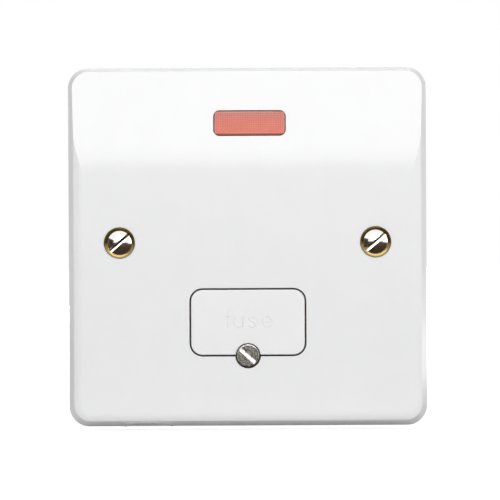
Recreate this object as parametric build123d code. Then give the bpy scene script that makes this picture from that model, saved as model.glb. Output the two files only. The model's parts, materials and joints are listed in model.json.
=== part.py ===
# Fused connection unit for one wall box: plate, fuse carrier, neon indicator, terminals, cord clamp.
# X runs right, Y into the wall and Z up, in mm. The origin lies midway between the two fixing
# screws, in the plane of the wall. "Out" is the distance from the wall towards the viewer.

import os
from math import cos, radians, sin, tan

from build123d import *

# Front plate
PLATE_SIZE = 86.0
PLATE_DROP = 1.0
PLATE_OUT = 9.5
FACE_INSET = 2.2
RIM_CORNER_RADIUS = 4.8
FACE_CORNER_RADIUS = 3.6
FACE_EDGE_RADIUS = 2.75
FACE_EDGE_BREAK = 0.3
PLATE_WALL = 2.2
CREASE_BELOW_TOP = 22.6
CREASE_RADIUS = 28.0
FACET_TILT = 10.0
RIB_WALL = 1.6
BOSS_ROOT = 0.55

# Flex panel in the bottom wall
FLEX_X = -23.9
FLEX_PANEL_WIDTH = 10.4
FLEX_PANEL_RISE = 6.8
FLEX_PANEL_RECESS = 0.15
FLEX_PANEL_WEB = 0.8
FLEX_PANEL_RIM = 0.6
FLEX_BEAD = 0.6
FLEX_BEAD_RISE = 0.2

# Fixing screws
FIXING_CENTRES = 60.3
FIXING_THREAD = 3.5
FIXING_NECK = 2.9
FIXING_HEAD = 7.3
FIXING_DOME = 1.0
FIXING_LAND = 0.2
FIXING_RING = 0.87
FIXING_DISH = 0.25
FIXING_LENGTH = 25.0
FIXING_TIP = 2.1
FIXING_TIP_LENGTH = 1.4
FIXING_SLOT = 0.95
FIXING_SLOT_TURN = 41.0
FIXING_PILLAR = 10.0
BOX_LUG_ROOM = 12.0

# Fits between pieces
SCREW_CLEARANCE = 0.25
THREAD_CLEARANCE = 0.05
SEAT_CLEARANCE = 0.05
POCKET_CLEARANCE = 0.1

# Edges common to the slotted cheese-head screws
HEAD_CHAMFER = 0.25
POINT_CHAMFER = 0.45
SLOT_TURN_STEP = 38.0

# Cartridge fuse
FUSE_LENGTH = 25.4
FUSE_DIAMETER = 6.35
FUSE_CAP_LENGTH = 5.6
FUSE_CAP_WALL = 0.375
FUSE_CAP_END = 0.4

# Fuse carrier
CARRIER_HEIGHT = 15.3
CARRIER_CORNER_RADIUS = 2.7
CARRIER_GAP = 0.4
CARRIER_EDGE_RADIUS = 0.25
CARRIER_DROP = 18.8
CARRIER_DOOR = 2.0
CARRIER_SKIRT = 1.2
CARRIER_SKIRT_GAP = 1.0
FUSE_END_CLEARANCE = 0.675
FUSE_WEB = 0.7
CRADLE_WIDTH = 3.0
CRADLE_CAP_GAP = 1.8
CRADLE_WALL = 1.1
CRADLE_GRIP = 1.2
SLEEVE_WALL = 1.2
SLEEVE_GAP = 0.2

# Carrier screw and its threaded insert
CARRIER_THREAD = 3.5
CARRIER_HEAD = 5.6
CARRIER_HEAD_HEIGHT = 2.2
CARRIER_HEAD_PROUD = 0.3
CARRIER_HEAD_CLEARANCE = 0.2
CARRIER_LUG = 2.2
CARRIER_SCREW_SLOT = 1.1
CARRIER_SLOT_LENGTH = 4.7
CARRIER_SCREW_TURN = -41.5
INSERT_DIAMETER = 5.6
INSERT_WALL = 2.4
INSERT_FLOOR = 0.5
SCREW_TIP_GAP = 0.4

# Rear moulding
REAR_FRONT_OUT = 2.0
REAR_WALL = 2.0
REAR_FLOOR = 2.6
REAR_EDGE_RADIUS = 0.6
REAR_CORNER_RADIUS = 1.2
EAR_RADIUS = 3.4
EAR_THICKNESS = 2.5
EAR_HEAD_GAP = 0.4
POST_RADIUS = 3.1
EAR_LOWER_DROP = 13.0

# Terminals
BANK_GAP = 1.1
WIRE_BORE = 4.4
WIRE_BORE_DEPTH = 8.5
BLOCK_CHEEK = 0.8
BLOCK_BEHIND_BORE = 1.9
BLOCK_BEFORE_BORE = 4.3
BLOCK_HEIGHT = 10.0
BLOCK_EDGE = 0.3
BARRIER = 1.8
WIRE_ENTRY_CLEARANCE = 0.4
TERMINAL_THREAD = 4.0
TERMINAL_HEAD = 5.4
TERMINAL_HEAD_HEIGHT = 1.7
TERMINAL_SLOT = 0.9
TERMINAL_TRAVEL_SPARE = 1.0
TERMINAL_HEAD_STANDOFF = 0.3
TERMINAL_WELL_CLEARANCE = 0.4

# Fuse contacts
STRIP = 0.8
STRAP_WIDTH = 5.0
STRAP_STAKE = 3.0
STAKE_COVER = 0.6
STRAP_BEHIND_FUSE = 0.8
CLIP_WIDTH = 4.6
CLIP_GAP = 0.15
CLIP_LIP = 1.2
CLIP_FLARE = 0.7

# Assembly screws
TAPPING_THREAD = 2.9
TAPPING_HEAD = 5.4
TAPPING_HEAD_HEIGHT = 1.8
TAPPING_SLOT = 0.8
TAPPING_GRIP = 4.2

# Neon indicator
LENS_X = 0.6
LENS_BELOW_TOP = 13.8
LENS_WIDTH = 16.9
LENS_RISE = 6.0
LENS_CORNER_RADIUS = 1.4
LENS_GAP = 0.12
LENS_PROUD = 0.25
LENS_EDGE_RADIUS = 0.2
LENS_FLANGE = 1.2
LENS_FLANGE_THICKNESS = 0.9
COLLAR_WALL = 1.0
COLLAR_GRIP = 1.3
LAMP_DIAMETER = 4.2
LAMP_LENGTH = 11.0
LAMP_GLASS = 0.5
LAMP_BEHIND_LENS = 0.4
HOLDER_WALL = 0.8
SADDLE_WIDTH = 1.2
LEAD_DIAMETER = 0.6
LEAD_SPACING = 2.2
LEAD_REACH = 0.5
ELECTRODE_LENGTH = 6.0
RESISTOR_DIAMETER = 2.4
RESISTOR_LENGTH = 6.4
RESISTOR_EDGE_RADIUS = 0.4
WIRE_DIAMETER = 1.3

# Cord clamp
CLAMP_GAP = 0.7
CLAMP_SPACING = 12.8
CLAMP_BOSS = 5.2
CLAMP_OUT = 1.5
CLAMP_THICKNESS = 2.5
CLAMP_BREADTH = 5.5
CLAMP_CORNER_RADIUS = 1.9
CLAMP_ARCH_DEPTH = 0.8

# Plate, fuse and carrier places worked out from the sizes above
PLATE_TOP = PLATE_SIZE / 2 - PLATE_DROP
INNER_OUT = PLATE_OUT - PLATE_WALL
SLEEVE_OUT = REAR_FRONT_OUT + SLEEVE_GAP
FIXINGS = [-FIXING_CENTRES / 2, FIXING_CENTRES / 2]
CARRIER_Z = -CARRIER_DROP
CARRIER_WIDTH = FUSE_LENGTH + 2 * FUSE_END_CLEARANCE
CARRIER_SCREW_Z = CARRIER_Z - CARRIER_HEIGHT / 2 - CARRIER_GAP / 2
DOOR_BACK = PLATE_OUT - CARRIER_DOOR
SKIRT_OUT = REAR_FRONT_OUT + CARRIER_SKIRT_GAP
SCREW_SEAT = PLATE_OUT + CARRIER_HEAD_PROUD - CARRIER_HEAD_HEIGHT
NOTCH_RADIUS = CARRIER_HEAD / 2 + CARRIER_HEAD_CLEARANCE
FUSE_OUT = DOOR_BACK - FUSE_WEB - FUSE_DIAMETER / 2
FUSE_TUBE_DIAMETER = FUSE_DIAMETER - 2 * FUSE_CAP_WALL
CRADLE_X = FUSE_LENGTH / 2 - FUSE_CAP_LENGTH - CRADLE_CAP_GAP - CRADLE_WIDTH / 2
STRAP_OUT = FUSE_OUT - FUSE_DIAMETER / 2 - STRAP_BEHIND_FUSE
STRAP_BACK = STRAP_OUT - STRIP
CLIP_INNER = FUSE_DIAMETER / 2 + CLIP_GAP
CLIP_OUTER = CLIP_INNER + STRIP
CLIP_X = FUSE_LENGTH / 2 - FUSE_CAP_LENGTH / 2

# Neon indicator places, measured along and behind the leaning facet
TILT = radians(FACET_TILT)
CREASE_HEIGHT = PLATE_TOP - CREASE_BELOW_TOP
LENS_HEIGHT = PLATE_TOP - LENS_BELOW_TOP
LENS_OUT = PLATE_OUT - (LENS_HEIGHT - CREASE_HEIGHT) * tan(TILT)
FACET = Plane(origin=(LENS_X, -LENS_OUT, LENS_HEIGHT), x_dir=(1, 0, 0), z_dir=(0, -cos(TILT), sin(TILT)))
FLANGE_WIDTH = LENS_WIDTH + 2 * LENS_FLANGE
FLANGE_RISE = LENS_RISE + 2 * LENS_FLANGE
FLANGE_FRONT = PLATE_WALL + SEAT_CLEARANCE
FLANGE_BACK = FLANGE_FRONT + LENS_FLANGE_THICKNESS
LAMP_DEPTH = FLANGE_BACK + LAMP_BEHIND_LENS + LAMP_DIAMETER / 2
HOLDER_BACK = LAMP_DEPTH + LAMP_DIAMETER / 2 + SEAT_CLEARANCE + HOLDER_WALL
COLLAR_BACK = FLANGE_BACK + COLLAR_GRIP
COLLAR_REACH = FLANGE_RISE / 2 + POCKET_CLEARANCE + COLLAR_WALL
COLLAR_LOW = LENS_HEIGHT - COLLAR_REACH * cos(TILT) - COLLAR_BACK * sin(TILT)
LEAD_END = -FLANGE_WIDTH / 2 - POCKET_CLEARANCE - COLLAR_WALL - LEAD_REACH

# Terminal and rear moulding places
BLOCK_WIDTH = WIRE_BORE + 2 * BLOCK_CHEEK
PITCH = BLOCK_WIDTH + 2 * POCKET_CLEARANCE + BARRIER
TERMINAL_X = [PITCH * (i - 2.5) for i in range(6)]
BLOCK_FRONT = STRAP_OUT + STAKE_COVER
WIRE_OUT = BLOCK_FRONT - BLOCK_BEFORE_BORE - WIRE_BORE / 2
JOINT_OUT = BLOCK_FRONT - BLOCK_BEFORE_BORE / 2
BLOCK_BACK = WIRE_OUT - WIRE_BORE / 2 - BLOCK_BEHIND_BORE
BANK_TOP = COLLAR_LOW - BANK_GAP
BLOCK_TOP = BANK_TOP - REAR_WALL - POCKET_CLEARANCE
TERMINAL_Z = BLOCK_TOP - BLOCK_HEIGHT / 2
BLOCK_BOTTOM = BLOCK_TOP - BLOCK_HEIGHT
BANK_BOTTOM = BLOCK_BOTTOM - POCKET_CLEARANCE - REAR_WALL
TERMINAL_TRAVEL = WIRE_BORE - TERMINAL_TRAVEL_SPARE
TERMINAL_SHANK = BLOCK_BEHIND_BORE + TERMINAL_TRAVEL + TERMINAL_HEAD_STANDOFF
TERMINAL_SEAT = BLOCK_BACK - TERMINAL_TRAVEL - TERMINAL_HEAD_STANDOFF - SEAT_CLEARANCE
BANK_BACK = TERMINAL_SEAT - TERMINAL_HEAD_HEIGHT
BANK_HALF = TERMINAL_X[5] + BLOCK_WIDTH / 2 + POCKET_CLEARANCE + REAR_WALL
TRAY_BACK = STRAP_BACK - REAR_FLOOR
TRAY_BOTTOM = CARRIER_Z - CLIP_OUTER - POCKET_CLEARANCE
SHIELD_HALF = CARRIER_WIDTH / 2 + CARRIER_GAP + SLEEVE_WALL
SHIELD_LOW = CARRIER_Z - CARRIER_HEIGHT / 2 - CARRIER_GAP - SLEEVE_WALL
INSERT_FRONT = REAR_FRONT_OUT - SEAT_CLEARANCE
INSERT_BACK = TRAY_BACK + INSERT_FLOOR
EAR_X = BANK_HALF + TAPPING_HEAD / 2 + EAR_HEAD_GAP
EARS = [(side * EAR_X, z) for side in (-1, 1) for z in (TERMINAL_Z, -EAR_LOWER_DROP)]
EAR_BACK = REAR_FRONT_OUT - EAR_THICKNESS

# Cord clamp places
CLAMP_Z = SHIELD_LOW - CLAMP_GAP - CLAMP_BREADTH / 2
CLAMP_SCREWS = [FLEX_X - CLAMP_SPACING / 2, FLEX_X + CLAMP_SPACING / 2]
CLAMP_BACK = CLAMP_OUT - CLAMP_THICKNESS


def slab(sketch, out_from, out_to):
    """A front-view sketch made solid between two distances out from the wall."""
    return extrude(Plane.XZ.offset(out_from) * sketch, out_to - out_from)


def rod(radius, x, z, out_from, out_to):
    return slab(Pos(x, z) * Circle(radius), out_from, out_to)


def block(x_low, x_high, z_low, z_high, out_from, out_to):
    middle = Pos((x_low + x_high) / 2, (z_low + z_high) / 2)
    return slab(middle * Rectangle(x_high - x_low, z_high - z_low), out_from, out_to)


def facet_slab(sketch, depth_from, depth_to):
    """A sketch on the leaning facet made solid between two depths behind it."""
    return extrude(FACET.offset(-depth_to) * sketch, depth_to - depth_from)


def facet_point(along, up, depth):
    return FACET.from_local_coords(Vector(along, up, -depth))


def screw(head, head_height, thread, shank, slot, slot_length):
    """Slotted cheese-head screw along Z, its seat at zero and its shank below."""
    body = Pos(0, 0, head_height / 2) * Cylinder(head / 2, head_height)
    body = chamfer(body.edges().group_by(Axis.Z)[-1], HEAD_CHAMFER)
    pin = Pos(0, 0, -shank / 2) * Cylinder(thread / 2, shank)
    pin = chamfer(pin.edges().group_by(Axis.Z)[0], POINT_CHAMFER)
    cut = Pos(0, 0, head_height) * Box(slot_length, slot, head_height)
    return body + pin - cut


def facing_front(shape, x, z, out, turn=0):
    return Pos(x, -out, z) * Rot(90, 0, 0) * Rot(0, 0, turn) * shape


def facing_back(shape, x, z, out, turn=0):
    return Pos(x, -out, z) * Rot(-90, 0, 0) * Rot(0, 0, turn) * shape


def plate_form(inset, out_to):
    """The plate's tapered form, drawn in by an inset all round and ending at a given distance out."""
    rim = RectangleRounded(PLATE_SIZE - 2 * inset, PLATE_SIZE - 2 * inset, RIM_CORNER_RADIUS - inset)
    face_inset = inset + FACE_INSET * out_to / PLATE_OUT
    face_size = PLATE_SIZE - 2 * face_inset
    face = RectangleRounded(face_size, face_size, FACE_CORNER_RADIUS - inset)
    lower = Plane.XZ * Pos(0, -PLATE_DROP) * rim
    upper = Plane.XZ.offset(out_to) * Pos(0, -PLATE_DROP) * face
    return loft([lower, upper], ruled=True)


def facet_wedge(depth):
    """All that lies in front of the leaning facet, or of a surface a given depth behind it."""
    front = PLATE_OUT - depth
    crease = CREASE_HEIGHT - depth * tan(TILT / 2)
    top = PLATE_SIZE
    lean = (top - crease) * tan(TILT)
    bend = FilletPolyline((-front, 0), (-front, crease), (lean - front, top), radius=CREASE_RADIUS - depth)
    close = Polyline((lean - front, top), (-2 * PLATE_OUT, top), (-2 * PLATE_OUT, 0), (-front, 0))
    return extrude(Plane.YZ * make_face([bend, close]), PLATE_SIZE, both=True)


def plate_shell():
    """Hollow tapered form whose rounded face is cut short by the walls, at a crisp edge."""
    rounded = plate_form(-FACE_EDGE_BREAK, PLATE_OUT)
    rounded = fillet(rounded.faces().sort_by(Axis.Y)[0].edges(), FACE_EDGE_RADIUS)
    outer = (plate_form(0, PLATE_OUT) & rounded) - facet_wedge(0)
    cavity = plate_form(PLATE_WALL, INNER_OUT) - facet_wedge(PLATE_WALL)
    return outer - cavity


def flex_prism(grow):
    """Upright prism through the bottom wall, round an arch that is open towards the wall behind."""
    half = FLEX_PANEL_WIDTH / 2 + grow
    arch = make_face([
        Polyline((FLEX_X - half, 0), (FLEX_X + half, 0)),
        ThreePointArc((FLEX_X - half, 0), (FLEX_X, -FLEX_PANEL_RISE - grow), (FLEX_X + half, 0)),
    ])
    return Pos(0, 0, -PLATE_SIZE) * extrude(arch, 0.75 * PLATE_SIZE)


def flex_bead():
    """Low raised line round the flex panel, which dies away at the plate's rim."""
    rim = Pos(0, -PLATE_DROP) * RectangleRounded(PLATE_SIZE, PLATE_SIZE, RIM_CORNER_RADIUS)
    bead = flex_prism(FLEX_BEAD) - flex_prism(0)
    bead &= plate_form(-FLEX_BEAD_RISE, PLATE_OUT)
    bead &= slab(rim, 0, PLATE_OUT)
    return bead - plate_form(BOSS_ROOT, PLATE_OUT)


def flex_panel_cuts():
    """Recess outside and inside the thin arched panel where a flex may be let out."""
    above_rim = slab(Rectangle(2 * PLATE_SIZE, 2 * PLATE_SIZE), FLEX_PANEL_RIM, PLATE_OUT)
    outside = (flex_prism(0) & above_rim) - plate_form(FLEX_PANEL_RECESS, PLATE_OUT)
    inside = flex_prism(0) & plate_form(FLEX_PANEL_RECESS + FLEX_PANEL_WEB, PLATE_OUT)
    return outside + inside


def carrier_outline(grow):
    width = CARRIER_WIDTH + 2 * grow
    height = CARRIER_HEIGHT + 2 * grow
    return Pos(0, CARRIER_Z) * RectangleRounded(width, height, CARRIER_CORNER_RADIUS + grow)


def aperture(grow):
    """Outline of the carrier's opening, with the round notch for its screw."""
    return carrier_outline(CARRIER_GAP + grow) + Pos(0, CARRIER_SCREW_Z) * Circle(NOTCH_RADIUS + grow)


def lens_outline(grow):
    return RectangleRounded(LENS_WIDTH + 2 * grow, LENS_RISE + 2 * grow, LENS_CORNER_RADIUS + grow)


def flange_outline(grow):
    return Rectangle(FLANGE_WIDTH + 2 * grow, FLANGE_RISE + 2 * grow)


def plate_bosses():
    """Everything that stands up inside the plate, run a little way into its wall."""
    root = INNER_OUT + BOSS_ROOT
    bosses = slab(aperture(SLEEVE_WALL), SLEEVE_OUT, root)
    for x in FIXINGS:
        bosses += rod(FIXING_PILLAR / 2, x, 0, SLEEVE_OUT, root)
    for x, z in EARS:
        bosses += rod(POST_RADIUS, x, z, REAR_FRONT_OUT, root)
    for x in CLAMP_SCREWS:
        bosses += rod(CLAMP_BOSS / 2, x, CLAMP_Z, CLAMP_OUT, root)
    for x in (TERMINAL_X[0], TERMINAL_X[5]):
        bosses += rod(RIB_WALL, x, -EAR_LOWER_DROP / 2, STRAP_OUT + SEAT_CLEARANCE, root)
    low, high = TERMINAL_Z - RIB_WALL / 2, TERMINAL_Z + RIB_WALL / 2
    for span in terminal_spans():
        left, right = span[0] - WIRE_BORE / 2, span[-1] + WIRE_BORE / 2
        bosses += block(left, right, low, high, BLOCK_FRONT + SEAT_CLEARANCE, root)
    collar = flange_outline(POCKET_CLEARANCE + COLLAR_WALL) - flange_outline(POCKET_CLEARANCE)
    return bosses + facet_slab(collar, PLATE_WALL - BOSS_ROOT, COLLAR_BACK)


def countersink(x):
    """Clearance hole and countersink of one fixing screw."""
    hole = FIXING_THREAD / 2 + SCREW_CLEARANCE
    mouth = FIXING_HEAD / 2 + SEAT_CLEARANCE
    cone = Pos(0, 0, (hole - mouth) / 2) * Cone(hole, mouth, mouth - hole)
    return facing_front(cone, x, 0, PLATE_OUT) + rod(hole, x, 0, 0, PLATE_OUT)


def make_front_plate():
    plate = plate_shell() + plate_bosses() + flex_bead() - flex_panel_cuts()
    plate -= slab(aperture(0), 0, 2 * PLATE_OUT)
    plate -= facet_slab(lens_outline(LENS_GAP), -PLATE_WALL, 2 * PLATE_WALL)
    for x in FIXINGS:
        plate -= countersink(x)
    pilot = TAPPING_THREAD / 2 + THREAD_CLEARANCE
    for x, z in EARS:
        plate -= rod(pilot, x, z, 0, REAR_FRONT_OUT + TAPPING_GRIP)
    for x in CLAMP_SCREWS:
        plate -= rod(pilot, x, CLAMP_Z, 0, CLAMP_OUT + TAPPING_GRIP)
    return plate


def make_fixing_screws():
    """Raised countersunk screws with a dished rim, necked through the plate and full size behind it."""
    head = FIXING_HEAD / 2
    ring = head - FIXING_RING
    shank = FIXING_THREAD / 2
    neck = FIXING_NECK / 2
    thread_start = SLEEVE_OUT - PLATE_OUT
    trough = FIXING_LAND - FIXING_DISH
    outline = [
        Polyline((0, -FIXING_LENGTH), (FIXING_TIP / 2, -FIXING_LENGTH),
                 (shank, FIXING_TIP_LENGTH - FIXING_LENGTH), (shank, thread_start),
                 (neck, thread_start), (neck, neck - head), (head, 0), (head, FIXING_LAND), (ring, trough)),
        TangentArc((0, FIXING_DOME), (ring, trough), tangent=(1, 0)),
        Line((0, FIXING_DOME), (0, -FIXING_LENGTH)),
    ]
    turned = revolve(Plane.XZ * make_face(outline), Axis.Z)
    turned -= Pos(0, 0, FIXING_DOME) * Box(2 * ring, FIXING_SLOT, 2 * FIXING_DOME)
    return [facing_front(turned, x, 0, PLATE_OUT, FIXING_SLOT_TURN) for x in FIXINGS]


def make_fuse_tube():
    inner = FUSE_LENGTH - 2 * FUSE_CAP_END
    return Pos(0, -FUSE_OUT, CARRIER_Z) * Rot(0, 90, 0) * Cylinder(FUSE_TUBE_DIAMETER / 2, inner)


def make_fuse_caps():
    cap = Rot(0, 90, 0) * Cylinder(FUSE_DIAMETER / 2, FUSE_CAP_LENGTH)
    cap = fillet(cap.edges().group_by(Axis.X)[-1], FUSE_CAP_END)
    hollow = Rot(0, 90, 0) * Cylinder(FUSE_TUBE_DIAMETER / 2, FUSE_CAP_LENGTH)
    cap -= Pos(-FUSE_CAP_END, 0, 0) * hollow
    right = Pos(CLIP_X, -FUSE_OUT, CARRIER_Z) * cap
    return [right, mirror(right, about=Plane.YZ)]


def make_fuse_carrier():
    """Door, skirts, two saddles that grip the fuse and a lug under the screw head."""
    door = slab(carrier_outline(0), DOOR_BACK, PLATE_OUT)
    door = fillet(door.faces().sort_by(Axis.Y)[0].edges(), CARRIER_EDGE_RADIUS)
    half = CARRIER_WIDTH / 2 - CARRIER_CORNER_RADIUS
    edge = CARRIER_HEIGHT / 2
    for low in (CARRIER_Z - edge, CARRIER_Z + edge - CARRIER_SKIRT):
        door += block(-half, half, low, low + CARRIER_SKIRT, SKIRT_OUT, DOOR_BACK)
    door += rod(CARRIER_HEAD / 2, 0, CARRIER_SCREW_Z, SCREW_SEAT - CARRIER_LUG, SCREW_SEAT)
    grip = FUSE_TUBE_DIAMETER / 2 + CRADLE_WALL
    for side in (-1, 1):
        low, high = side * CRADLE_X - CRADLE_WIDTH / 2, side * CRADLE_X + CRADLE_WIDTH / 2
        door += block(low, high, CARRIER_Z - grip, CARRIER_Z + grip, FUSE_OUT - CRADLE_GRIP, DOOR_BACK)
    bore = Cylinder(FUSE_TUBE_DIAMETER / 2 + SEAT_CLEARANCE, CARRIER_WIDTH / 2)
    door -= Pos(0, -FUSE_OUT, CARRIER_Z) * Rot(0, 90, 0) * bore
    door -= rod(CARRIER_HEAD / 2 + SCREW_CLEARANCE / 2, 0, CARRIER_SCREW_Z, SCREW_SEAT, 2 * PLATE_OUT)
    return door - rod(CARRIER_THREAD / 2 + THREAD_CLEARANCE, 0, CARRIER_SCREW_Z, 0, 2 * PLATE_OUT)


def make_carrier_screw():
    shank = SCREW_SEAT - INSERT_BACK - SCREW_TIP_GAP
    slot = (CARRIER_SCREW_SLOT, CARRIER_SLOT_LENGTH)
    body = screw(CARRIER_HEAD, CARRIER_HEAD_HEIGHT, CARRIER_THREAD, shank, *slot)
    return facing_front(body, 0, CARRIER_SCREW_Z, SCREW_SEAT + SEAT_CLEARANCE, CARRIER_SCREW_TURN)


def make_carrier_insert():
    sleeve = rod(INSERT_DIAMETER / 2, 0, CARRIER_SCREW_Z, INSERT_BACK, INSERT_FRONT)
    return sleeve - rod(CARRIER_THREAD / 2 + THREAD_CLEARANCE, 0, CARRIER_SCREW_Z, -PLATE_OUT, PLATE_OUT)


def rear_outline():
    """The rear moulding before its pockets are sunk."""
    bank = block(-BANK_HALF, BANK_HALF, BANK_BOTTOM, BANK_TOP, BANK_BACK, REAR_FRONT_OUT)
    bank = fillet(bank.edges().filter_by(Axis.Y), REAR_CORNER_RADIUS)
    bank = fillet(bank.faces().sort_by(Axis.Y)[-1].edges(), REAR_EDGE_RADIUS)
    tray_low = TRAY_BOTTOM - REAR_WALL
    tray_top = BANK_BOTTOM + REAR_CORNER_RADIUS
    reach = INSERT_DIAMETER / 2 + INSERT_WALL
    tongue_low = CARRIER_SCREW_Z - reach
    outline = Pos(0, (tray_low + tray_top) / 2) * Rectangle(2 * BANK_HALF, tray_top - tray_low)
    outline += Pos(0, (SHIELD_LOW + tray_top) / 2) * Rectangle(2 * SHIELD_HALF, tray_top - SHIELD_LOW)
    outline += Pos(0, (tongue_low + tray_top) / 2) * Rectangle(2 * reach, tray_top - tongue_low)
    body = bank + slab(fillet(outline.vertices(), REAR_CORNER_RADIUS), TRAY_BACK, REAR_FRONT_OUT)
    for x, z in EARS:
        body += rod(EAR_RADIUS, x, z, EAR_BACK, REAR_FRONT_OUT)
        low, high = sorted((x, x * BANK_HALF / EAR_X))
        body += block(low, high, z - EAR_RADIUS, z + EAR_RADIUS, EAR_BACK, REAR_FRONT_OUT)
    return body


def terminal_spans():
    """The x positions served by each terminal block, left to right."""
    return [TERMINAL_X[0:1], TERMINAL_X[1:3], TERMINAL_X[3:5], TERMINAL_X[5:6]]


def terminal_pockets():
    cuts = []
    grow = BLOCK_WIDTH / 2 + POCKET_CLEARANCE
    for span in terminal_spans():
        low, high = BLOCK_BOTTOM - POCKET_CLEARANCE, BLOCK_TOP + POCKET_CLEARANCE
        cuts.append(block(span[0] - grow, span[-1] + grow, low, high, BLOCK_BACK, REAR_FRONT_OUT))
    well = TERMINAL_HEAD / 2 + TERMINAL_WELL_CLEARANCE
    entry = WIRE_BORE / 2 + WIRE_ENTRY_CLEARANCE
    for x in TERMINAL_X:
        cuts.append(rod(well, x, TERMINAL_Z, BANK_BACK, BLOCK_BACK))
        cuts.append(block(x - entry, x + entry, BLOCK_TOP, BANK_TOP, WIRE_OUT, REAR_FRONT_OUT))
        cuts.append(Pos(x, -WIRE_OUT, BANK_TOP) * Cylinder(entry, 2 * REAR_WALL + BLOCK_EDGE))
    return cuts


def make_rear_moulding():
    body = rear_outline()
    inner = BANK_HALF - REAR_WALL
    tray = block(-inner, inner, TRAY_BOTTOM, BANK_BOTTOM - REAR_WALL, STRAP_BACK, REAR_FRONT_OUT)
    tray -= block(-RIB_WALL / 2, RIB_WALL / 2, TRAY_BOTTOM, BANK_BOTTOM, STRAP_BACK, STRAP_OUT)
    body -= tray
    for cut in terminal_pockets():
        body -= cut
    slot = STRAP_WIDTH / 2 + POCKET_CLEARANCE
    for x in (TERMINAL_X[0], TERMINAL_X[5]):
        body -= block(x - slot, x + slot, BANK_BOTTOM - REAR_WALL, BLOCK_BOTTOM, STRAP_BACK, REAR_FRONT_OUT)
    for x, z in EARS:
        body -= rod(TAPPING_THREAD / 2 + SCREW_CLEARANCE, x, z, EAR_BACK, REAR_FRONT_OUT)
    for x in FIXINGS:
        body -= rod(BOX_LUG_ROOM / 2, x, 0, BANK_BACK, REAR_FRONT_OUT)
    return body - rod(INSERT_DIAMETER / 2, 0, CARRIER_SCREW_Z, INSERT_BACK, REAR_FRONT_OUT)


def make_contact(side):
    """Strap from a live terminal down to a two-armed clip round one fuse cap."""
    x_strap = TERMINAL_X[5]
    low, high = CARRIER_Z - CLIP_OUTER, CARRIER_Z + CLIP_OUTER
    inner = CLIP_X - CLIP_WIDTH / 2
    strap = block(inner, x_strap + STRAP_WIDTH / 2, low, high, STRAP_BACK, STRAP_OUT)
    edge = STRAP_WIDTH / 2
    strap += block(x_strap - edge, x_strap + edge, low, BLOCK_BOTTOM + STRAP_STAKE, STRAP_BACK, STRAP_OUT)
    tip = DOOR_BACK - FUSE_WEB - CLIP_LIP
    arm = Polyline(
        (-STRAP_OUT, CLIP_INNER), (-tip, CLIP_INNER), (-tip - CLIP_LIP, CLIP_INNER + CLIP_FLARE),
        (-tip - CLIP_LIP, CLIP_OUTER + CLIP_FLARE), (-tip, CLIP_OUTER), (-STRAP_OUT, CLIP_OUTER), close=True)
    upper = Pos(CLIP_X, 0, CARRIER_Z) * extrude(Plane.YZ * make_face(arm), CLIP_WIDTH / 2, both=True)
    strap += upper + mirror(upper, about=Plane.XY.offset(CARRIER_Z))
    return strap if side > 0 else mirror(strap, about=Plane.YZ)


def make_terminal(span):
    """Brass block with a wire bore from above and a screw hole from behind for each wire."""
    half = BLOCK_WIDTH / 2
    body = block(span[0] - half, span[-1] + half, BLOCK_BOTTOM, BLOCK_TOP, BLOCK_BACK, BLOCK_FRONT)
    body = chamfer(body.edges(), BLOCK_EDGE)
    for x in span:
        middle = BLOCK_TOP - WIRE_BORE_DEPTH / 2
        body -= Pos(x, -WIRE_OUT, middle) * Cylinder(WIRE_BORE / 2, WIRE_BORE_DEPTH)
        body -= rod(TERMINAL_THREAD / 2 + THREAD_CLEARANCE, x, TERMINAL_Z, BLOCK_BACK, WIRE_OUT)
    return body


def make_live_terminal(index):
    """A live terminal also takes the staked end of its fuse contact."""
    x = TERMINAL_X[index]
    edge = STRAP_WIDTH / 2
    stake = block(x - edge, x + edge, BLOCK_BOTTOM, BLOCK_BOTTOM + STRAP_STAKE, STRAP_BACK, STRAP_OUT)
    return make_terminal([x]) - stake


def make_terminal_screw(index):
    slot = (TERMINAL_SLOT, 2 * TERMINAL_HEAD)
    body = screw(TERMINAL_HEAD, TERMINAL_HEAD_HEIGHT, TERMINAL_THREAD, TERMINAL_SHANK, *slot)
    return facing_back(body, TERMINAL_X[index], TERMINAL_Z, TERMINAL_SEAT, SLOT_TURN_STEP * index)


def tapping_screws(places, seat, thickness):
    """Slotted screws at several places, through a given thickness into the plate's bosses."""
    shank = thickness + TAPPING_GRIP - SCREW_TIP_GAP
    slot = (TAPPING_SLOT, 2 * TAPPING_HEAD)
    body = screw(TAPPING_HEAD, TAPPING_HEAD_HEIGHT, TAPPING_THREAD, shank, *slot)
    return [facing_back(body, x, z, seat, SLOT_TURN_STEP * i) for i, (x, z) in enumerate(places)]


def make_neon_lens():
    """Window that fills its opening, with a flange behind the plate."""
    window = facet_slab(lens_outline(0), -LENS_PROUD, FLANGE_FRONT)
    front = window.faces().sort_by(Axis(FACET.origin, FACET.z_dir))[-1]
    window = fillet(front.edges(), LENS_EDGE_RADIUS)
    return window + facet_slab(flange_outline(0), FLANGE_FRONT, FLANGE_BACK)


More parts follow.
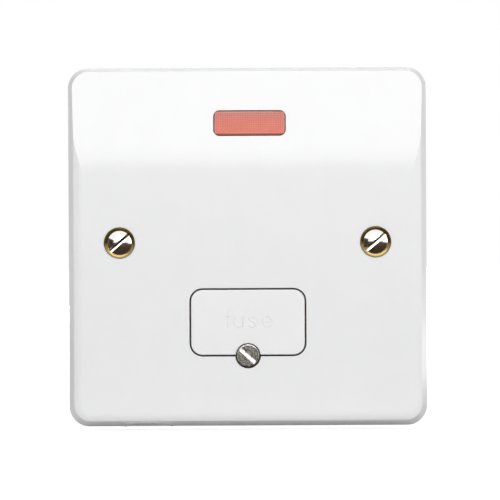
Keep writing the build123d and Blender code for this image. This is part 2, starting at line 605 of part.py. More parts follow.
def make_neon_holder():
    """Open box behind the lens, with two saddles for the lamp and a way out for its leads."""
    box = facet_slab(flange_outline(0), FLANGE_BACK, HOLDER_BACK)
    inner = flange_outline(-HOLDER_WALL)
    floor = HOLDER_BACK - HOLDER_WALL
    box -= facet_slab(inner, FLANGE_BACK, floor)
    for side in (-1, 1):
        saddle = Pos(side * LAMP_LENGTH / 4, 0) * Rectangle(SADDLE_WIDTH, FLANGE_RISE - HOLDER_WALL)
        box += facet_slab(saddle, LAMP_DEPTH, floor)
    lamp = Cylinder(LAMP_DIAMETER / 2 + SEAT_CLEARANCE, LAMP_LENGTH)
    box -= FACET.offset(-LAMP_DEPTH) * Rot(0, 90, 0) * lamp
    for up in (-LEAD_SPACING / 2, LEAD_SPACING / 2):
        hole = Rot(0, 90, 0) * Cylinder(LEAD_DIAMETER / 2 + SEAT_CLEARANCE, 4 * HOLDER_WALL)
        box -= FACET.offset(-LAMP_DEPTH) * Pos(-FLANGE_WIDTH / 2, up, 0) * hole
    return box


def lead_rods(radius):
    """Both lamp leads, straight along the facet from inside the glass to their outer ends."""
    start = -LAMP_LENGTH / 2 + ELECTRODE_LENGTH
    rods = []
    for up in (-LEAD_SPACING / 2, LEAD_SPACING / 2):
        middle = Pos((start + LEAD_END) / 2, up, 0)
        rods.append(FACET.offset(-LAMP_DEPTH) * middle * Rot(0, 90, 0) * Cylinder(radius, start - LEAD_END))
    return rods


def make_neon_lamp():
    """Hollow glass envelope, round at one end and closed round its leads at the other."""
    radius = LAMP_DIAMETER / 2
    half = LAMP_LENGTH / 2
    hollow = radius - LAMP_GLASS
    outer = Pos(0, 0, -radius / 2) * Cylinder(radius, LAMP_LENGTH - radius)
    outer += Pos(0, 0, half - radius) * Sphere(radius)
    inner = Cylinder(hollow, LAMP_LENGTH - 2 * radius) + Pos(0, 0, half - radius) * Sphere(hollow)
    glass = FACET.offset(-LAMP_DEPTH) * Rot(0, 90, 0) * (outer - inner)
    for lead in lead_rods(LEAD_DIAMETER / 2):
        glass -= lead
    return glass


def wire_drop(start, x):
    """Curved lamp wire from the end of a lead down to the top of a terminal block."""
    end = Vector(x, -JOINT_OUT, BLOCK_TOP)
    above = Vector(x, -JOINT_OUT, BANK_TOP)
    path = Spline(start, above, end, tangents=[(-1, 0, 0), (0, 0, -1)])
    return sweep(Plane(origin=start, z_dir=(-1, 0, 0)) * Circle(WIRE_DIAMETER / 2), path)


def make_resistor():
    """Lamp resistor on the upper lead."""
    start = facet_point(LEAD_END - RESISTOR_LENGTH / 2, LEAD_SPACING / 2, LAMP_DEPTH)
    body = Rot(0, 90, 0) * Cylinder(RESISTOR_DIAMETER / 2, RESISTOR_LENGTH)
    return Pos(*start) * fillet(body.edges(), RESISTOR_EDGE_RADIUS)


def make_cord_clamp():
    """Flat bar with a shallow arch over the flex and two screw holes."""
    reach = CLAMP_SPACING / 2 + CLAMP_BOSS / 2
    outline = Pos(FLEX_X, CLAMP_Z) * RectangleRounded(2 * reach, CLAMP_BREADTH, CLAMP_CORNER_RADIUS)
    bar = slab(outline, CLAMP_BACK, CLAMP_OUT)
    span = CLAMP_SPACING - CLAMP_BOSS
    arch = ThreePointArc((FLEX_X - span / 2, 0), (FLEX_X, CLAMP_ARCH_DEPTH), (FLEX_X + span / 2, 0))
    groove = make_face([arch, Line((FLEX_X + span / 2, 0), (FLEX_X - span / 2, 0))])
    bar -= Pos(0, -CLAMP_OUT, CLAMP_Z) * extrude(groove, CLAMP_BREADTH, both=True)
    for x in CLAMP_SCREWS:
        bar -= rod(TAPPING_THREAD / 2 + SCREW_CLEARANCE, x, CLAMP_Z, CLAMP_BACK, CLAMP_OUT)
    return bar


def make_nodes():
    spans = terminal_spans()
    clamp_places = [(x, CLAMP_Z) for x in CLAMP_SCREWS]
    resistor_end = facet_point(LEAD_END - RESISTOR_LENGTH, LEAD_SPACING / 2, LAMP_DEPTH)
    lead_end = facet_point(LEAD_END, -LEAD_SPACING / 2, LAMP_DEPTH)
    nodes = {
        "front_plate": make_front_plate(),
        "fixing_screws": make_fixing_screws(),
        "fuse_tube": make_fuse_tube(),
        "fuse_caps": make_fuse_caps(),
        "fuse_carrier": make_fuse_carrier(),
        "carrier_screw": make_carrier_screw(),
        "carrier_insert": make_carrier_insert(),
        "rear_moulding": make_rear_moulding(),
        "supply_contact": make_contact(1),
        "load_contact": make_contact(-1),
        "live_load_terminal": make_live_terminal(0),
        "neutral_terminal": make_terminal(spans[1]),
        "earth_terminal": make_terminal(spans[2]),
        "live_supply_terminal": make_live_terminal(5),
        "assembly_screws": tapping_screws(EARS, EAR_BACK, EAR_THICKNESS),
        "neon_lens": make_neon_lens(),
        "neon_holder": make_neon_holder(),
        "neon_lamp": make_neon_lamp(),
        "lamp_leads": lead_rods(LEAD_DIAMETER / 2),
        "lamp_resistor": make_resistor(),
        "live_lamp_wire": wire_drop(resistor_end, TERMINAL_X[0]),
        "neutral_lamp_wire": wire_drop(lead_end, TERMINAL_X[1]),
        "cord_clamp": make_cord_clamp(),
        "cord_clamp_screws": tapping_screws(clamp_places, CLAMP_BACK, CLAMP_THICKNESS),
    }
    names = ["live_load", "neutral_load", "neutral_supply", "earth_supply", "earth_load", "live_supply"]
    for index, name in enumerate(names):
        nodes[name + "_screw"] = make_terminal_screw(index)
    return nodes


os.makedirs("parts", exist_ok=True)
for node, shape in make_nodes().items():
    solids = [s for piece in shape for s in piece.solids()] if isinstance(shape, list) else shape.solids()
    export_step(solids[0] if len(solids) == 1 else Compound(children=solids), f"parts/{node}.step")
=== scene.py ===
import json
import math

import bmesh
import bpy
from mathutils import Matrix, Vector

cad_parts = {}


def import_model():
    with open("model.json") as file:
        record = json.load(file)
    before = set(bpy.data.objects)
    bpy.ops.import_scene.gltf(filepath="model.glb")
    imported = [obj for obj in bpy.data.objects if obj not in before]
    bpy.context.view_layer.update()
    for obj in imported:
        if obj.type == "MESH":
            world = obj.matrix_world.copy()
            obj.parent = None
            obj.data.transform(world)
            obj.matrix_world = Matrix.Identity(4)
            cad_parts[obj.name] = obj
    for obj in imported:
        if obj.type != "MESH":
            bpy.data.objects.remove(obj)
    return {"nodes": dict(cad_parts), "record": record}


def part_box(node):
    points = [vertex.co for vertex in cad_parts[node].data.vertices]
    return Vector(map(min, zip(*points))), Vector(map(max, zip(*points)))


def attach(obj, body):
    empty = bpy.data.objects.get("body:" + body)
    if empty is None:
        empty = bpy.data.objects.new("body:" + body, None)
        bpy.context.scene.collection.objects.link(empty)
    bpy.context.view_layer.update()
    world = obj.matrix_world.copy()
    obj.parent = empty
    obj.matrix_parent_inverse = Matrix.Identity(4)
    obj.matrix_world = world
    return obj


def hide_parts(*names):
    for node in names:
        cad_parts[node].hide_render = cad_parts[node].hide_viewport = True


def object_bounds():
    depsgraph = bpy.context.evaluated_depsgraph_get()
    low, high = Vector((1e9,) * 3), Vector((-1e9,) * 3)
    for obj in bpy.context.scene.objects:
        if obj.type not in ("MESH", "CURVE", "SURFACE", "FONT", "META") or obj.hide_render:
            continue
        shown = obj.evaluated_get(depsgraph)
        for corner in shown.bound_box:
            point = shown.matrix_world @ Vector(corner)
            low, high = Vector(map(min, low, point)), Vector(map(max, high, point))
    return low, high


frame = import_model()
cad_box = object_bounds()
nodes = frame["nodes"]
MM = 0.001

# How far the lens's pyramids stand out of the plate, and the depth of the lines between them, in mm
LENS_FRONT, LENS_CUT = 0.25, 0.07
LENS_LINES = LENS_FRONT - LENS_CUT


# Materials

class Finish:
    """A principled material whose detail is built up from object-space noise."""

    def __init__(self, name, **sockets):
        self.material = bpy.data.materials.new(name)
        self.material.use_nodes = True
        self.tree = self.material.node_tree
        self.shader = self.tree.nodes["Principled BSDF"]
        for key, value in sockets.items():
            self.socket(key.replace("_", " ")).default_value = value
        self.coordinates = self.add("ShaderNodeTexCoord").outputs["Object"]

    def add(self, kind, **settings):
        node = self.tree.nodes.new(kind)
        for key, value in settings.items():
            setattr(node, key, value)
        return node

    def link(self, source, target):
        self.tree.links.new(source, target)

    def socket(self, name):
        return next(s for s in self.shader.inputs if s.name.lower() == name.lower())

    def noise(self, size, detail=3.0, roughness=0.55, vector=None):
        """Noise whose lumps are about a given size across, in mm."""
        node = self.add("ShaderNodeTexNoise")
        node.inputs["Scale"].default_value = 1.0 / (size * MM)
        node.inputs["Detail"].default_value = detail
        node.inputs["Roughness"].default_value = roughness
        self.link(vector or self.coordinates, node.inputs["Vector"])
        return node.outputs["Fac"]

    def stretched(self, x, y, z):
        """Object coordinates scaled along each axis, to draw noise out into lines."""
        node = self.add("ShaderNodeMapping")
        node.inputs["Scale"].default_value = (x, y, z)
        self.link(self.coordinates, node.inputs["Vector"])
        return node.outputs["Vector"]

    def along(self, axis):
        """Distance along one of the object's own axes."""
        parts = self.add("ShaderNodeSeparateXYZ")
        self.link(self.coordinates, parts.inputs["Vector"])
        return parts.outputs[axis]

    def radius(self):
        """Distance from the object's own Z axis."""
        length = self.add("ShaderNodeVectorMath", operation="LENGTH")
        self.link(self.stretched(1, 1, 0), length.inputs[0])
        return length.outputs["Value"]

    def rings(self, pitch):
        """Height of fine turned rings about the object's own Z axis."""
        line = self.add("ShaderNodeCombineXYZ")
        self.link(self.radius(), line.inputs["X"])
        return self.noise(pitch, detail=2.0, roughness=0.7, vector=line.outputs["Vector"])

    def spread(self, source, low, high, start=0.3, stop=0.7):
        """A value spread between two numbers."""
        node = self.add("ShaderNodeMapRange")
        for key, value in zip(("From Min", "From Max", "To Min", "To Max"), (start, stop, low, high)):
            node.inputs[key].default_value = value
        self.link(source, node.inputs["Value"])
        return node.outputs["Result"]

    def ramp(self, source, stops, sharp=False):
        """Colours set out along a value, by (value, colour) stops."""
        first, last = stops[0][0], stops[-1][0]
        node = self.add("ShaderNodeValToRGB")
        node.color_ramp.interpolation = "CONSTANT" if sharp else "LINEAR"
        for value, _ in stops[1:-1]:
            node.color_ramp.elements.new((value - first) / (last - first))
        for element, (_, colour) in zip(node.color_ramp.elements, stops):
            element.color = (*colour, 1.0)
        self.link(self.spread(source, 0.0, 1.0, first, last), node.inputs["Fac"])
        return node.outputs["Color"]

    def shade(self, colour, source, darkest, start=0.3, stop=0.7):
        """A colour darkened in places, down to a share of itself."""
        node = self.add("ShaderNodeVectorMath", operation="SCALE")
        self.link(colour, node.inputs[0])
        self.link(self.spread(source, darkest, 1.0, start, stop), node.inputs["Scale"])
        return node.outputs["Vector"]

    def tinted(self, colour, other):
        """One colour seen through another."""
        node = self.add("ShaderNodeVectorMath", operation="MULTIPLY")
        self.link(colour, node.inputs[0])
        self.link(other, node.inputs[1])
        return node.outputs["Vector"]

    def paint(self, colour):
        self.link(colour, self.socket("Base Color"))
        return self

    def colour(self, source, low, high, start=0.3, stop=0.7):
        return self.paint(self.ramp(source, [(start, low), (stop, high)]))

    def gloss(self, source, low, high, start=0.3, stop=0.7):
        self.link(self.spread(source, low, high, start, stop), self.socket("Roughness"))
        return self

    def relief(self, *layers, edge=0.0):
        """Bump from (height source, depth in mm) layers, over edges softened by a radius in mm."""
        normal = None
        if edge:
            node = self.add("ShaderNodeBevel", samples=4)
            node.inputs["Radius"].default_value = edge * MM
            normal = node.outputs["Normal"]
        for source, depth in layers:
            node = self.add("ShaderNodeBump")
            node.inputs["Strength"].default_value = 1.0
            node.inputs["Distance"].default_value = depth * MM
            self.link(source, node.inputs["Height"])
            if normal:
                self.link(normal, node.inputs["Normal"])
            normal = node.outputs["Normal"]
        self.link(normal, self.socket("Normal"))
        return self


def moulded(name, low, high, rough, edge, peel):
    """Moulded white plastic with a faint orange peel and slight clouding."""
    finish = Finish(name, IOR=1.5)
    finish.colour(finish.noise(9.0), low, high)
    finish.gloss(finish.noise(1.6), rough - 0.02, rough + 0.02)
    return finish.relief((finish.noise(2.2, detail=1.0), peel), edge=edge)


def metal(name, low, high, rough, grain, depth, rings=0.0, brushed=None):
    """Metal with cloudy colour and either turned rings, a brushed grain or fine pitting."""
    finish = Finish(name, Metallic=1.0)
    finish.colour(finish.noise(2.5, detail=4.0), low, high)
    finish.gloss(finish.noise(grain * 4, detail=4.0), rough * 0.75, rough * 1.3)
    layers = [(finish.noise(grain), depth)]
    if rings:
        layers.append((finish.rings(rings), depth * 1.6))
    if brushed:
        layers.append((finish.noise(grain, vector=finish.stretched(*brushed)), depth))
    return finish.relief(*layers)


def plated_brass():
    """Fixing screws: a pale polished dome in a golden turned ring, painted shade in the ring's grooves and
    the slot, and a golden shank.
    """
    finish = Finish("plated_brass", Metallic=1.0)
    pale, gold, groove_shade = (0.97, 0.955, 0.92), (0.56, 0.44, 0.2), (0.2, 0.14, 0.055)
    # Painted shade: the brown bands at the ring's grooves and round its outer edge.
    stops = [(0.0, pale), (2.82, pale), (2.92, groove_shade), (3.06, gold), (3.16, groove_shade), (3.28, gold),
             (3.46, gold), (3.62, groove_shade), (3.65, groove_shade)]
    tint = finish.ramp(finish.radius(), [(r * MM, colour) for r, colour in stops])
    # Painted shade: a dark band of height that darkens the slot floor round its valley; lower down the shank
    # keeps its own gold.
    shank, slot_shade, clear = (0.8, 0.64, 0.34), (0.1, 0.075, 0.055), (1, 1, 1)
    stops = [(-0.9, shank), (-0.4, shank), (-0.3, slot_shade), (-0.1, slot_shade), (-0.06, clear)]
    below = finish.ramp(finish.along("Z"), [(z * MM, colour) for z, colour in stops])
    finish.paint(finish.shade(finish.tinted(tint, below), finish.noise(0.8, detail=4.0), 0.93))
    finish.gloss(finish.noise(0.5, detail=4.0), 0.07, 0.16)
    return finish.relief((finish.noise(0.3), 0.002), (finish.rings(0.1), 0.004))


def grey_steel():
    """Carrier screw: dark granular plating, a rim with a painted highlight between bands of painted shade,
    and a slot floor lifted by painted light.
    """
    finish = Finish("grey_steel", Metallic=1.0)
    grey, rim_highlight, dark = (0.5, 0.47, 0.43), (0.85, 0.82, 0.77), (0.12, 0.11, 0.1)
    # Painted highlight on the rim's inner slope, with painted shade just inside it and over its outer edge.
    stops = [(0.0, grey), (2.28, grey), (2.36, dark), (2.44, rim_highlight), (2.54, rim_highlight), (2.68, dark), (2.8, dark)]
    tint = finish.ramp(finish.radius(), [(r * MM, colour) for r, colour in stops])
    grain = finish.shade(tint, finish.noise(0.42, detail=4.0, roughness=0.7), 0.22, 0.42, 0.6)
    # Painted light: below the head's face the slot floor is brightened to over three times its colour.
    finish.paint(finish.shade(grain, finish.along("Z"), 3.4, 1.5 * MM, 1.6 * MM))
    finish.gloss(finish.noise(0.4, detail=4.0), 0.3, 0.5)
    return finish.relief((finish.noise(0.2), 0.02), (finish.rings(0.16), 0.016))


def insulation(name, low, high):
    """Soft plastic sleeve of a wire."""
    finish = Finish(name, IOR=1.48)
    finish.colour(finish.noise(2.0), low, high)
    finish.gloss(finish.noise(0.6), 0.38, 0.52)
    return finish.relief((finish.noise(0.25), 0.01))


def ceramic():
    """Unglazed body of the fuse, slightly mottled."""
    finish = Finish("white_ceramic", IOR=1.5)
    finish.colour(finish.noise(1.2, detail=5.0), (0.78, 0.75, 0.68), (0.86, 0.84, 0.78))
    finish.gloss(finish.noise(0.4), 0.55, 0.75)
    return finish.relief((finish.noise(0.15, detail=4.0), 0.015))


def red_lens():
    """Clear red, with painted shade: darker and greyer towards the top, darker in the cut lines and darkest
    round the rolled edge.
    """
    finish = Finish("red_lens", IOR=1.49, Roughness=0.12, Transmission_Weight=0.12)
    # Painted shade: the red turns darker and greyer towards the top of the lens.
    tint = finish.ramp(finish.along("Y"), [(-3 * MM, (0.97, 0.27, 0.19)), (3 * MM, (0.8, 0.29, 0.24))])
    cloudy = finish.shade(tint, finish.noise(3.0), 0.95)
    level = finish.along("Z")
    # Painted shade in the cut lines between the pyramids, and on the rolled edge and sides below them.
    shaded_in_lines = finish.shade(cloudy, level, 0.4, LENS_LINES * MM, (LENS_LINES + 0.15 * LENS_CUT) * MM)
    # Painted shadow of the gap round the lens: the rolled edge is darker still.
    finish.paint(finish.shade(shaded_in_lines, level, 0.6, (LENS_LINES - 0.012) * MM, (LENS_LINES - 0.003) * MM))
    return finish.relief((finish.noise(0.8), 0.004))


def lamp_glass():
    """Clear drawn glass with faint waves."""
    finish = Finish("lamp_glass", IOR=1.5, Transmission_Weight=1.0)
    finish.colour(finish.noise(1.5), (0.93, 0.92, 0.9), (0.97, 0.97, 0.96))
    finish.gloss(finish.noise(0.5), 0.01, 0.05)
    return finish.relief((finish.noise(1.0), 0.01))


def resistor_lacquer():
    """Tan lacquer with four coloured bands set out along the body."""
    finish = Finish("resistor_lacquer", IOR=1.5, Coat_Weight=0.4)
    tan, red, violet = (0.66, 0.53, 0.35), (0.5, 0.03, 0.025), (0.19, 0.05, 0.3)
    yellow, gold = (0.75, 0.52, 0.05), (0.5, 0.36, 0.13)
    stops = [(-3.3, tan), (-2.55, red), (-1.95, tan), (-1.15, violet), (-0.65, tan), (-0.15, yellow),
             (0.35, tan), (1.9, gold), (2.5, tan), (3.3, tan)]
    tint = finish.ramp(finish.along("Z"), [(z * MM, colour) for z, colour in stops], sharp=True)
    finish.paint(finish.shade(tint, finish.noise(0.7), 0.86))
    finish.gloss(finish.noise(0.3), 0.25, 0.4)
    return finish.relief((finish.noise(0.4), 0.02))


def make_finishes():
    """One finish for each material slot of the record."""
    brushed_across, brushed_up = (0.06, 1.0, 1.0), (1.0, 1.0, 0.05)
    return {
        "white_urea": moulded("white_urea", (0.805, 0.807, 0.812), (0.82, 0.822, 0.828),
                              rough=0.30, edge=0.08, peel=0.004),
        "white_carrier": moulded("white_carrier", (0.825, 0.825, 0.827), (0.84, 0.84, 0.843),
                                 rough=0.30, edge=0.12, peel=0.004),
        "white_nylon": moulded("white_nylon", (0.76, 0.755, 0.73), (0.80, 0.795, 0.775),
                               rough=0.42, edge=0.2, peel=0.01),
        "red_lens": red_lens(),
        "plated_brass": plated_brass(),
        "raw_brass": metal("raw_brass", (0.62, 0.45, 0.19), (0.76, 0.58, 0.28),
                           rough=0.3, grain=0.1, depth=0.006, brushed=brushed_across),
        "screw_brass": metal("screw_brass", (0.66, 0.5, 0.24), (0.78, 0.61, 0.32),
                             rough=0.26, grain=0.1, depth=0.004, rings=0.12),
        "spring_bronze": metal("spring_bronze", (0.58, 0.36, 0.18), (0.7, 0.47, 0.26),
                               rough=0.3, grain=0.1, depth=0.005, brushed=brushed_up),
        "grey_steel": grey_steel(),
        "zinc_steel": metal("zinc_steel", (0.56, 0.57, 0.59), (0.7, 0.71, 0.72),
                            rough=0.3, grain=0.12, depth=0.006, rings=0.14),
        "bright_nickel": metal("bright_nickel", (0.64, 0.62, 0.58), (0.74, 0.72, 0.69),
                               rough=0.18, grain=0.1, depth=0.003),
        "white_ceramic": ceramic(),
        "lamp_glass": lamp_glass(),
        "resistor_lacquer": resistor_lacquer(),
        "brown_pvc": insulation("brown_pvc", (0.19, 0.085, 0.038), (0.26, 0.125, 0.06)),
        "blue_pvc": insulation("blue_pvc", (0.045, 0.13, 0.42), (0.075, 0.19, 0.52)),
    }


finishes = make_finishes()
node_slots = {s["node"]: s["material_slot"] for s in frame["record"]["subparts"]}
for name, node in nodes.items():
    for material_slot in node.material_slots:
        material_slot.material = finishes[node_slots[name]].material


# Mesh building

def box_mm(node):
    """A node's lowest and highest corners and its middle, in mm."""
    low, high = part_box(node)
    return low / MM, high / MM, (low + high) / 2 / MM


def link_object(name, data):
    """An object of a mesh, curve, light or camera, put into the scene."""
    piece = bpy.data.objects.new(name, data)
    bpy.context.scene.collection.objects.link(piece)
    return piece


def smooth(mesh, angle=30):
    """Smooth shading, except across edges sharper than an angle in degrees."""
    mesh.shade_smooth()
    mesh.set_sharp_from_angle(angle=math.radians(angle))


def new_piece(name, built, material):
    """A mesh object from (points in mm, faces)."""
    mesh = bpy.data.meshes.new(name)
    mesh.from_pydata([Vector(v) * MM for v in built[0]], [], built[1])
    mesh.materials.append(material)
    smooth(mesh)
    return link_object(name, mesh)


def arc(centre, radius, start, stop, steps):
    """Points round part of a circle, by angles in degrees."""
    angles = [math.radians(start + (stop - start) * i / steps) for i in range(steps + 1)]
    return [(centre[0] + radius * math.cos(a), centre[1] + radius * math.sin(a)) for a in angles]


def lathe(profile, segments):
    """Closed solid turned about Z from (radius, height) points that start and end on the axis."""
    inner = profile[1:-1]
    vertices = [(0, 0, profile[0][1]), (0, 0, profile[-1][1])]
    for radius, height in inner:
        ring = arc((0, 0), radius, 0, 360, segments)[:-1]
        vertices += [(x, y, height) for x, y in ring]
    faces = []
    for j in range(segments):
        k = (j + 1) % segments
        faces.append((0, 2 + k, 2 + j))
        for i in range(len(inner) - 1):
            low, high = 2 + i * segments, 2 + (i + 1) * segments
            faces.append((low + j, low + k, high + k, high + j))
        last = 2 + (len(inner) - 1) * segments
        faces.append((1, last + j, last + k))
    return vertices, faces


def threaded_rod(major, minor, pitch, bottom, top, lead, segments=36):
    """Closed rod along Z with a helical thread, drawn in over a lead at both ends."""
    shape = [(0.0, minor), (0.14, minor), (0.46, major), (0.60, major)]
    turns = int((top - bottom) / pitch) + 2
    rows = [(turn - 1 + part, radius) for turn in range(turns + 1) for part, radius in shape]
    vertices = [(0, 0, bottom), (0, 0, top)]
    for row, radius in rows:
        for j in range(segments + 1):
            height = min(max(bottom + (row + j / segments) * pitch, bottom), top)
            fade = min(1.0, (height - bottom) / lead, (top - height) / lead)
            r = minor * (0.82 + 0.18 * fade) + (radius - minor) * fade
            angle = 2 * math.pi * j / segments
            vertices.append((r * math.cos(angle), r * math.sin(angle), height))
    faces = []
    for i in range(len(rows) - 1):
        for j in range(segments):
            low = 2 + i * (segments + 1) + j
            high = low + segments + 1
            faces.append((low, low + 1, high + 1, high))
    last = 2 + (len(rows) - 1) * (segments + 1)
    for j in range(segments):
        faces.append((0, 3 + j, 2 + j))
        faces.append((1, last + j, last + j + 1))
    return vertices, faces


def slot_cutter(width, length, floor, top, dip=0.0, valley=0.0):
    """A bar along X that cuts a screwdriver slot, whose floor may dip to a valley."""
    half = width / 2
    section = [(-half, top), (-half, floor), (valley, floor - dip), (half, floor), (half, top)]
    count = len(section)
    vertices = [(x, y, z) for x in (-length / 2, length / 2) for y, z in section]
    sides = [(i, (i + 1) % count, count + (i + 1) % count, count + i) for i in range(count)]
    ends = [tuple(range(count - 1, -1, -1)), tuple(range(count, 2 * count))]
    return vertices, sides + ends


def weld(piece):
    """Joins points that lie together and drops faces that have no area."""
    work = bmesh.new()
    work.from_mesh(piece.data)
    bmesh.ops.remove_doubles(work, verts=work.verts, dist=0.002 * MM)
    bmesh.ops.dissolve_degenerate(work, edges=work.edges, dist=0.001 * MM)
    bmesh.ops.recalc_face_normals(work, faces=work.faces)
    work.to_mesh(piece.data)
    work.free()


def combine(piece, built, operation):
    """Joins a closed shape to a piece, or cuts it away."""
    other = new_piece(piece.name + "_tool", built, piece.data.materials[0])
    weld(other)
    step = piece.modifiers.new(operation, "BOOLEAN")
    step.operation = operation
    step.object = other
    step.solver = "EXACT"
    graph = bpy.context.evaluated_depsgraph_get()
    old = piece.data
    mesh = bpy.data.meshes.new_from_object(piece.evaluated_get(graph))
    piece.modifiers.clear()
    piece.data = mesh
    bpy.data.meshes.remove(old)
    bpy.data.objects.remove(other)
    weld(piece)
    smooth(piece.data)


def twins(piece, count):
    """The piece and more objects that share its mesh."""
    return [piece] + [link_object(f"{piece.name}_{i}", piece.data) for i in range(2, count + 1)]


def dress(piece, body, slot, *replaced):
    """Puts a piece on its body and hides the nodes it stands for; the slot is not used."""
    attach(piece, body)
    if replaced:
        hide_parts(*replaced)


# Screws

HEAD_SEGMENTS, FIXING_SEGMENTS = 76, 92


def cheese_head(name, head, height, rim, slot, thread, pitch, shank, material):
    """Slotted screw along Z with its seat at zero: a turned head, a thread and a slot.

    The slot is a width, a length and a depth, and may add how far its floor dips and where.
    """
    r = head / 2
    edge, shoulder, dip = 0.08, 0.25, 0.07
    face = height - dip
    profile = [(0, 0), (r - edge, 0)] + arc((r - edge, edge), edge, -90, 0, 3)[1:]
    profile += [(r, height - shoulder), (r - 0.1, height - 0.08), (r - shoulder, height)]
    profile += [(r - shoulder - rim, height), (r - 0.35 - rim, face)]
    profile += [(r * 0.5, face), (r * 0.2, face), (0, face)]
    piece = new_piece(name, lathe(profile, HEAD_SEGMENTS), material)
    rod = threaded_rod(thread / 2, thread / 2 - pitch / 2, pitch, -shank, height * 0.35, pitch)
    combine(piece, rod, "UNION")
    width, length, depth, *valley = slot
    combine(piece, slot_cutter(width, length, height - depth, 2 * height, *valley), "DIFFERENCE")
    return piece


def place(piece, x, out, z, faces_front, turn):
    """Sets a screw built along Z at a point, facing out of the plate or into the wall."""
    tip = Matrix.Rotation(math.radians(90 if faces_front else -90), 4, "X")
    spin = Matrix.Rotation(math.radians(turn), 4, "Z")
    piece.matrix_world = Matrix.Translation(Vector((x, -out, z)) * MM) @ tip @ spin


def fixing_screws():
    """Raised countersunk heads in a grooved ring, with a necked shank and a thread behind the plate."""
    low, high, middle = box_mm("fixing_screws")
    head, neck, major, minor, pitch, lead = (high.z - low.z) / 2, 1.45, 1.75, 1.44, 0.6, 1.4
    plate_out = -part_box("front_plate")[0].y / MM
    shoulder, tip, foot, crown = -7.3, -25.0, (2.95, -0.05), 1.0
    end = shoulder - 0.23
    profile = [(0, end), (minor - 0.02, end), (neck, shoulder + 0.3), (neck, neck - head)]
    profile += [(head - 0.04, -0.04), (head, 0.03), (head, 0.15), (head - 0.05, 0.2), (head - 0.22, 0.19)]
    profile += [(head - 0.3, 0.06), (head - 0.4, 0.05), (head - 0.46, 0.1), (head - 0.56, 0.08)]
    profile.append((head - 0.63, -0.03))
    rise = crown - foot[1]
    radius = (foot[0] ** 2 + rise ** 2) / (2 * rise)
    sweep = math.degrees(math.asin(foot[0] / radius))
    profile += arc((0, crown - radius), radius, 90 - sweep, 90, 18)[:-1] + [(0, crown)]
    piece = new_piece("fixing_screw_left", lathe(profile, FIXING_SEGMENTS), finishes["plated_brass"].material)
    combine(piece, threaded_rod(major, minor, pitch, tip, shoulder + 0.1, lead), "UNION")
    slot = slot_cutter(width=0.95, length=2 * foot[0], floor=0, top=4, dip=0.2, valley=0.28)
    combine(piece, slot, "DIFFERENCE")
    left, right = twins(piece, 2)
    right.name = "fixing_screw_right"
    for screw, x, turn in ((left, low.x + head, 41), (right, high.x - head, 40)):
        place(screw, x, plate_out, middle.z, faces_front=True, turn=turn)
        dress(screw, "base", "plated_brass", "fixing_screws")


def carrier_screw():
    """Captive screw at the foot of the carrier, with a closed slot."""
    low, high, middle = box_mm("carrier_screw")
    head_height, slot = 2.2, (1.1, 4.7, 0.65, 0.22, 0.45)
    seat = -low.y - head_height
    piece = cheese_head("carrier_screw_turned", high.z - low.z, head_height, rim=0.2, slot=slot, thread=3.5,
                        pitch=0.6, shank=seat + high.y, material=finishes["grey_steel"].material)
    place(piece, middle.x, seat, middle.z, faces_front=True, turn=-41.5)
    dress(piece, "carrier_screw", "grey_steel", "carrier_screw")


def rear_screws():
    """Terminal, assembly and clamp screws, all facing backwards."""
    names = ["live_load", "neutral_load", "neutral_supply", "earth_supply", "earth_load", "live_supply"]
    turn_step, head, brass_height, zinc_height = 38, 5.4, 1.7, 1.8
    low, high, _ = box_mm(names[0] + "_screw")
    seat = brass_height - high.y
    brass = cheese_head("terminal_screw", head, brass_height, rim=0.0, slot=(0.9, 2 * head, 0.85), thread=4.0,
                        pitch=0.7, shank=-seat - low.y, material=finishes["screw_brass"].material)
    for index, (name, piece) in enumerate(zip(names, twins(brass, len(names)))):
        piece.name = name + "_screw_turned"
        middle = box_mm(name + "_screw")[2]
        place(piece, middle.x, seat, middle.z, faces_front=False, turn=turn_step * index)
        dress(piece, name + "_screw", "screw_brass", name + "_screw")
    for node, body in (("assembly_screws", "base"), ("cord_clamp_screws", "cord_clamp")):
        low, high, _ = box_mm(node)
        seat = zinc_height - high.y
        made = cheese_head(node[:-1] + "_turned", head, zinc_height, rim=0.0, slot=(0.8, 2 * head, 0.9),
                           thread=2.9, pitch=1.1, shank=-seat - low.y,
                           material=finishes["zinc_steel"].material)
        levels = sorted({round(low.z + head / 2, 3), round(high.z - head / 2, 3)}, reverse=True)
        spots = [(x, z) for x in (low.x + head / 2, high.x - head / 2) for z in levels]
        for index, (piece, (x, z)) in enumerate(zip(twins(made, len(spots)), spots)):
            place(piece, x, seat, z, faces_front=False, turn=turn_step * index)
            dress(piece, body, "zinc_steel", node)


fixing_screws()
carrier_screw()
rear_screws()


# Fuse caps, lamp resistor and lamp glass

def fuse_caps():
    """Drawn caps with a crimped waist and a pressed end, one on each end of the fuse tube."""
    low, high, middle = box_mm("fuse_caps")
    r, bore, length, end = (high.z - low.z) / 2, 2.81, 5.6, 0.4
    profile = [(0, -end), (bore, -end), (bore, -length), (r - 0.08, -length), (r, 0.12 - length)]
    profile += [(r, -4.45), (r - 0.14, -4.25), (r - 0.16, -4.0), (r - 0.14, -3.75), (r, -3.55)]
    profile += arc((r - end, -end), end, 0, 90, 5) + [(1.3, 0), (1.15, -0.06), (0, -0.06)]
    cap = new_piece("fuse_cap_left", lathe(profile, 64), finishes["bright_nickel"].material)
    left, right = twins(cap, 2)
    right.name = "fuse_cap_right"
    for piece, x, turn in ((left, low.x, -90), (right, high.x, 90)):
        spot = Matrix.Translation(Vector((x, middle.y, middle.z)) * MM)
        piece.matrix_world = spot @ Matrix.Rotation(math.radians(turn), 4, "Y")
        dress(piece, "carrier", "bright_nickel", "fuse_caps")


